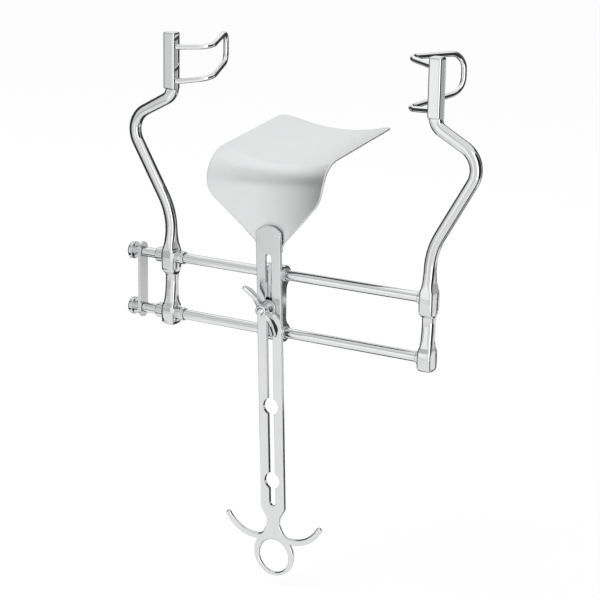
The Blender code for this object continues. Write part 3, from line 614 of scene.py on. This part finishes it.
# Clamp: stud, washer and wing nut on one axis to the front
clampCentre = Matrix.Translation((layout["slider"], 0, layout["stud"]))
clampPlace = towardFront(layout["slider"], 0, layout["stud"])
stud = {"radius": 2.25, "core": 1.85, "tipRadius": 1.5, "tip": 23.2, "chamferEnd": 22.5, "firstCrest": 22.1,
        "pitch": 0.8, "crests": 14, "threadEnd": 10.6, "back": 2.7}
profile = [(0, stud["tip"]), (stud["tipRadius"], stud["tip"], 0.2), (stud["radius"], stud["chamferEnd"])]
for crest in range(stud["crests"]):
    height = stud["firstCrest"] - crest * stud["pitch"]
    profile += [(stud["radius"], height), (stud["core"], height - stud["pitch"] / 2)]
profile += [(stud["radius"], stud["threadEnd"]), (stud["radius"], stud["back"]), (0, stud["back"])]
bm = bmesh.new()
turnedShape(bm, profile, clampPlace, 64)
makePiece("clampStud", bm, "slider", ["clamp_stud"], finishes["turned"])

washer = {"profile": [(2.55, 11.5), (6.0, 11.5, 0.5), (6.0, 10.3, 0.15), (2.55, 10.3)]}
bm = bmesh.new()
turnedShape(bm, washer["profile"], clampPlace)
makePiece("clampWasher", bm, "washer", ["clamp_washer"], finishes["turned"])

wingNut = {
    "hub": [(2.55, 21.6, 0.3), (4.3, 21.6, 0.8), (4.3, 16.4, 2.0), (5.7, 13.4, 0.8), (5.7, 11.8, 0.2),
            (2.55, 11.8)],
    "span": 43.0 * mm, "thickness": 3.2 * mm, "angle": -50.0 * degree, "base": 11.8 * mm,
    "height": 9.8 * mm, "root": 3.05 * mm, "edge": 1.2 * mm,
}
tip = wingNut["span"] / 2
base, tall = wingNut["base"], wingNut["height"]
wingCorners = [
    flat(wingNut["root"], base + tall * 0.12), flat(tip * 0.36, base + tall * 0.20),
    flat(tip * 0.80, base + tall * 0.38), flat(tip, base + tall), flat(tip * 0.96, base + tall * 1.26),
    flat(tip * 0.62, base + tall * 0.90), flat(tip * 0.40, base + tall * 0.78),
    flat(wingNut["root"], base + tall * 0.94),
]
wingRadii = [0, 6 * mm, 6 * mm, 1.0 * mm, 0.9 * mm, 5 * mm, 5 * mm, 0]
wingOutline = roundedPath(wingCorners, wingRadii, True, 8 * degree)
wingTurn = Matrix.Rotation(-wingNut["angle"], 4, "Y") @ Matrix.Rotation(math.pi, 4, "X")
wingPlace = clampCentre @ wingTurn
bm = bmesh.new()
for side in (1, -1):
    wing = [flat(p.x * side, p.y) for p in wingOutline]
    roundedPlate(bm, [wing], wingNut["thickness"], wingPlace, [wingNut["edge"]])
turnedShape(bm, wingNut["hub"], clampPlace)
makePiece("wingNut", bm, "nut", ["wing_nut"], finishes["arms"], angle=60)
print("clamp ready")

# Shank of the centre blade: slot, keyholes, finger hooks and finger ring
# its sizes are in millimetres, and its heights and drops start at the clamp stud
bladeTurn = clampCentre @ Matrix.Rotation(layout["lean"], 4, "Y")
shank = {
    "halfWidth": 10.0, "thickness": 3.0, "middle": -8.5, "top": 59.4, "topRadius": 12.5, "shoulder": 151.0,
    "neck": 162.2, "neckHalf": 5.4, "neckAbove": 4.0, "neckBelow": 1.5, "neckRadii": (5.0, 6.0, 7.0, 6.0),
    "hookDrop": 174.4, "hookSpan": 77.6, "hookRise": 13.2, "hookBar": 4.7, "hookTaper": 0.12,
    "hookRoot": (4.5, 9.0, 14.0), "hookElbow": (8.0, 0.8), "hookRadius": 26.0,
    "ringDrop": 186.2, "ringRadius": 17.0, "ringHoleDrop": 187.7, "ringHole": 12.6, "ringMeet": 0.86,
    "slotHalf": 2.6, "slotTop": 39.0, "slotBottom": 149.0, "keyhole": 6.35, "keyholeDrops": (73.4, 129.8),
    "edge": 0.55, "barEdge": 1.42, "slotEdge": 0.3,
}


def shankOutline():
    half = shank["halfWidth"]
    top = flat(0, shank["top"] - shank["topRadius"])
    points = sweepArc(top, shank["topRadius"], math.pi / 2, math.acos(half / shank["topRadius"]))
    neck = shank["neckHalf"]
    hookTop = -shank["hookDrop"] + shank["hookBar"] / 2
    near, start, far = [neck + reach for reach in shank["hookRoot"]]
    waist = [flat(half, 0), flat(half, -shank["shoulder"]), flat(neck, -shank["neck"] + shank["neckAbove"]),
             flat(neck, -shank["neck"] - shank["neckBelow"]), flat(near, hookTop - 0.2), flat(far, hookTop)]
    points += roundedPath(waist, [0, *shank["neckRadii"], 0])[1:-1]
    hookTip = flat(shank["hookSpan"] / 2, -shank["hookDrop"])
    inward, lift = shank["hookElbow"]
    hook = [flat(start, -shank["hookDrop"]), hookTip + flat(-inward, lift),
            hookTip + flat(0, shank["hookRise"])]
    line = roundedPath(hook, [0, shank["hookRadius"], 0])
    upper, lower = [], []
    for index, point in enumerate(line):
        along = (line[min(index + 1, len(line) - 1)] - line[max(index - 1, 0)]).normalized()
        slim = shank["hookBar"] / 2 * (1 - shank["hookTaper"] * index / len(line))
        upper.append(point + flat(-along.y, along.x) * slim)
        lower.append(point - flat(-along.y, along.x) * slim)
    along = (line[-1] - line[-2]).normalized()
    facing = math.atan2(along.x, -along.y)
    tipRadius = (upper[-1] - lower[-1]).length / 2
    points += upper[:-1]
    points += sweepArc((upper[-1] + lower[-1]) / 2, tipRadius, facing, facing - math.pi, 12 * degree)
    points += lower[::-1][1:]
    meet = math.asin((lower[0].y + shank["ringDrop"]) / shank["ringRadius"] * shank["ringMeet"])
    points += sweepArc(flat(0, -shank["ringDrop"]), shank["ringRadius"], meet, -math.pi / 2)
    return [p * mm for p in bothSides(points)]


def slotOutline():
    half = shank["slotHalf"]
    points = sweepArc(flat(0, shank["slotTop"] - half), half, math.pi / 2, 0, 10 * degree)
    enter = math.acos(half / shank["keyhole"])
    for drop in shank["keyholeDrops"]:
        points += sweepArc(flat(0, -drop), shank["keyhole"], enter, -enter)
    points += sweepArc(flat(0, half - shank["slotBottom"]), half, 0, -math.pi / 2, 10 * degree)
    return [p * mm for p in bothSides(points)]


def shankEdge(point):
    # crisp beside the slot, and almost a round bar at the hooks and the ring
    down = min(1, max(0, (-point.y / mm - shank["shoulder"]) / (shank["neck"] - shank["shoulder"])))
    return (shank["edge"] + (shank["barEdge"] - shank["edge"]) * down * down * (3 - 2 * down)) * mm


ringHole = sweepArc(flat(0, -shank["ringHoleDrop"]) * mm, shank["ringHole"] * mm, 0, 2 * math.pi)[:-1]
bm = bmesh.new()
place = bladeTurn @ towardFront(0, shank["middle"] * mm, 0)
roundedPlate(bm, [shankOutline(), slotOutline(), ringHole], shank["thickness"] * mm, place,
             [shankEdge, shank["slotEdge"] * mm, shank["barEdge"] * mm], 6)
makePiece("bladeShank", bm, "blade", ["blade_shank"], finishes["shank"], angle=60)

# Centre blade: a saddle-shaped sheet
saddle = {
    "thickness": 1.4 * mm, "halfWidth": 47.0 * mm, "footHalf": 9.8 * mm, "foot": 41.0 * mm,
    "flareStart": 45.0 * mm, "bendHeight": 101.0 * mm, "bendRadius": 17.0 * mm, "depth": 84.7 * mm,
    "rise": 8.4 * degree, "crownRadius": 142.0 * mm, "crownShift": 5.0 * mm, "shift": -0.8 * mm,
    "corner": 10.0 * mm, "edge": 0.55 * mm, "edgeSteps": 3, "columns": 56, "row": 1.6 * mm,
    "seat": -6.7 * mm, "seatReach": -11.0 * mm,  # the shank's back, and where across it the sheet touches
    "flareRadii": (12 * mm, 24 * mm),
}


def crown(x):
    beside = x - saddle["crownShift"]
    return saddle["crownRadius"] - math.sqrt(saddle["crownRadius"] ** 2 - beside ** 2)


def saddleLine(length):
    # the middle of the sheet, and the way its upper side faces, at a length along it
    bendStart = saddle["bendHeight"] - saddle["bendRadius"]
    sheetY = saddle["seat"] + crown(saddle["seatReach"]) + saddle["thickness"] / 2
    turnOver = math.pi / 2 - saddle["rise"]
    if length <= bendStart:
        return Vector((0, sheetY, length)), Vector((0, -1, 0))
    angle = min((length - bendStart) / saddle["bendRadius"], turnOver)
    normal = Vector((0, -math.cos(angle), math.sin(angle)))
    point = Vector((0, sheetY + saddle["bendRadius"], bendStart)) + normal * saddle["bendRadius"]
    beyond = max(0, length - bendStart - saddle["bendRadius"] * turnOver)
    return point + Vector((0, math.sin(angle), math.cos(angle))) * beyond, normal


bendLength = saddle["bendRadius"] * (math.pi / 2 - saddle["rise"])
total = saddle["bendHeight"] - saddle["bendRadius"] + bendLength + saddle["depth"]
flare = saddle["halfWidth"] - saddle["footHalf"]
edgeLine = roundedPath(
    [flat(saddle["footHalf"], saddle["foot"]), flat(saddle["footHalf"], saddle["flareStart"]),
     flat(saddle["halfWidth"], saddle["flareStart"] + flare), flat(saddle["halfWidth"], total),
     flat(0, total)],
    [0, *saddle["flareRadii"], saddle["corner"], 0], False, 4.5 * degree)[:-1]
rows = resample(edgeLine, saddle["row"])
bm = bmesh.new()
bmesh.ops.create_grid(bm, x_segments=saddle["columns"], y_segments=len(rows) - 1, size=1)
for vert in bm.verts:
    row = rows[round((vert.co.y + 1) / 2 * (len(rows) - 1))]
    point, normal = saddleLine(row.y)
    x = row.x * vert.co.x + saddle["shift"]
    vert.co = point + normal * crown(x) + Vector((x, 0, 0))
bmesh.ops.transform(bm, matrix=bladeTurn, verts=bm.verts)
makePiece("centreBlade", bm, "blade", ["centre_blade"], finishes["blade"], sheet=saddle)
print("centre blade ready")

# Studio: pale floor, a tent of panels round the object, and softboxes above it
studio = {
    "centre": Vector((0.13, 0.03, 0)),
    "tentRadius": 0.75,
    # from and to as directions in degrees, 0 along the rods and -90 in front; bottom and top; brightness
    "panels": [
        (-140, -119, -0.05, 0.15, 0.85),
        (-140, -119, -0.14, -0.05, 0.62),
        (-140, -119, -0.20, -0.14, 0.90),
        (-140, -96, 0.22, 0.62, 0.66),
        (-140, -119, 0.15, 0.22, 0.85),
        (-119, -96, -0.15, 0.22, 1.20),
        (-119, -96, -0.20, -0.15, 0.95),
        (-96, -72, -0.20, 0.60, 0.90),
        (-50, -20, -0.20, 0.70, 2.20),
        (-20, 38, -0.20, 0.65, 0.04),
        (38, 46, -0.20, 0.65, 0.55),
        (46, 61, -0.12, 0.12, 0.50),
        (46, 55.6, -0.20, -0.12, 0.95),
        (55.6, 59.2, -0.20, -0.12, 0.04),
        (59.2, 61, -0.20, -0.12, 0.95),
        (61, 64, -0.20, 0.12, 0.90),
        (46, 64, 0.12, 0.65, 0.04),
        (64, 105, -0.20, 0.62, 0.05),
        (105, 145, -0.20, 0.20, 0.05),
        (145, 218, -0.20, 0.60, 0.05),
    ],
    # from and to, nearest and farthest from the foot of the shank; brightness
    "floorCards": [
        (64, 150, 0.002, 0.30, 0.05),
        (64, 80, 0.30, 0.48, 0.05),
        (80, 218, 0.30, 0.80, 0.05),
        (-2, 36, 0.27, 0.80, 0.05),
        (48, 64, 0.02, 0.50, 0.04),
        (57.2, 60.6, 0.50, 0.80, 0.04),
    ],
    "floorCentre": Vector((0.118, -0.008, -0.211)),
    # where each stands from the centre, its size and strength; one lies level, the other looks at the centre
    "softboxes": [
        {"place": (-0.45, -0.42, 0.75), "size": (0.95, 0.40), "strength": 0.80},
        {"place": (-0.54, 0.17, 0.85), "size": (0.90, 0.75), "strength": 1.2, "level": True},
    ],
}


def glowing(name, strength):
    card = Finish(name)
    card.tree.nodes.remove(card.shader)
    light = card.add("ShaderNodeEmission", None, {"Color": (1, 1, 1, 1), "Strength": strength})
    card.feed(card.tree.nodes["Material Output"].inputs["Surface"], light.outputs[0])
    return card.material


def stagePiece(name, bm, finish, onlyReflected=True):
    mesh = bpy.data.meshes.new(name)
    bm.to_mesh(mesh)
    bm.free()
    mesh.materials.append(finish)
    piece = bpy.data.objects.new(name, mesh)
    bpy.context.scene.collection.objects.link(piece)
    if onlyReflected:
        piece.visible_camera = False
        piece.visible_diffuse = False
        piece.visible_shadow = False


for index, (start, end, bottom, top, tone) in enumerate(studio["panels"]):
    wall = sweepArc(studio["centre"], studio["tentRadius"], start * degree, end * degree)
    bm = bmesh.new()
    pullLoops(bm, [[p + Vector((0, 0, height)) for p in wall] for height in (bottom, top)], False)
    stagePiece("tentPanel" + str(index), bm, glowing("tentCloth" + str(index), tone))

for index, (start, end, near, far, tone) in enumerate(studio["floorCards"]):
    bm = bmesh.new()
    arcs = [sweepArc(studio["floorCentre"], reach, start * degree, end * degree) for reach in (near, far)]
    pullLoops(bm, arcs, False)
    stagePiece("floorCard" + str(index), bm, glowing("floorCardCloth" + str(index), tone))

for index, box in enumerate(studio["softboxes"]):
    spot = Vector(box["place"]) + studio["centre"]
    bm = bmesh.new()
    bmesh.ops.create_grid(bm, x_segments=1, y_segments=1, size=0.5)
    bmesh.ops.scale(bm, vec=(box["size"][0], box["size"][1], 1), verts=bm.verts)
    aim = (studio["centre"] - spot).to_track_quat("-Z", "Y").to_matrix().to_4x4()
    aim = Matrix.Identity(4) if box.get("level") else aim
    bmesh.ops.transform(bm, matrix=Matrix.Translation(spot) @ aim, verts=bm.verts)
    stagePiece("softbox" + str(index), bm, glowing("softboxCloth" + str(index), box["strength"]))

# The floor shows near white to the camera and in the steel, and still takes the shadow
floor = {"tone": 0.86, "whitened": 0.8, "halfSize": 12}
pale = Finish("paleFloor")
pale.wear((floor["tone"], floor["tone"], floor["tone"], 1), 0.9, None, 0.0)
rays = pale.add("ShaderNodeLightPath")
kinds = ("Is Camera Ray", "Is Glossy Ray", "Is Transmission Ray")
seen = sum(Field(pale, rays.outputs[kind]) for kind in kinds) * floor["whitened"]
white = pale.add("ShaderNodeEmission", None, {"Color": (1, 1, 1, 1), "Strength": 1.0})
blend = pale.add("ShaderNodeMixShader", None, {0: seen, 1: pale.shader.outputs[0], 2: white.outputs[0]})
pale.feed(pale.tree.nodes["Material Output"].inputs["Surface"], blend.outputs[0])
bm = bmesh.new()
bmesh.ops.create_grid(bm, x_segments=1, y_segments=1, size=floor["halfSize"])
bmesh.ops.translate(bm, verts=bm.verts, vec=(0, 0, layout["floor"]))
stagePiece("floor", bm, pale.material, False)

# Plain white all round, for the camera and in the steel
world = bpy.data.worlds.new("studioWorld")
world.use_nodes = True
background = world.node_tree.nodes["Background"]
background.inputs["Color"].default_value = (1, 1, 1, 1)
background.inputs["Strength"].default_value = 1.0
bpy.context.scene.world = world

lamp = {"place": Vector((-0.9, -0.7, 1.7)), "size": 1.6, "power": 20}
light = bpy.data.lights.new("overheadLamp", "AREA")
light.size = lamp["size"]
light.energy = lamp["power"]
overhead = bpy.data.objects.new("overheadLamp", light)
bpy.context.scene.collection.objects.link(overhead)
overhead.matrix_world = Matrix.Translation(lamp["place"]) @ (
    (studio["centre"] - lamp["place"]).to_track_quat("-Z", "Y").to_matrix().to_4x4())
overhead.visible_camera = False
overhead.visible_glossy = False

# Camera where the photograph was taken from
view = {"eye": Vector((0.81721, -1.12682, 0.35420)), "azimuth": 31.082 * degree,
        "elevation": 14.879 * degree, "roll": 1.025 * degree, "lens": 115.254}
back = Vector((math.sin(view["azimuth"]) * math.cos(view["elevation"]),
               -math.cos(view["azimuth"]) * math.cos(view["elevation"]), math.sin(view["elevation"])))
right = Vector((math.cos(view["azimuth"]), math.sin(view["azimuth"]), 0))
above = back.cross(right)
across = right * math.cos(view["roll"]) + above * math.sin(view["roll"])
above = back.cross(across)
lens = bpy.data.cameras.new("camera")
lens.lens = view["lens"]
lens.sensor_width = 36
lens.clip_start = 0.05
lens.clip_end = 50
camera = bpy.data.objects.new("camera", lens)
bpy.context.scene.collection.objects.link(camera)
camera.matrix_world = Matrix.Translation(view["eye"]) @ Matrix((across, above, back)).transposed().to_4x4()
bpy.context.scene.camera = camera
bpy.context.scene.view_settings.view_transform = "Standard"

print("scene ready")
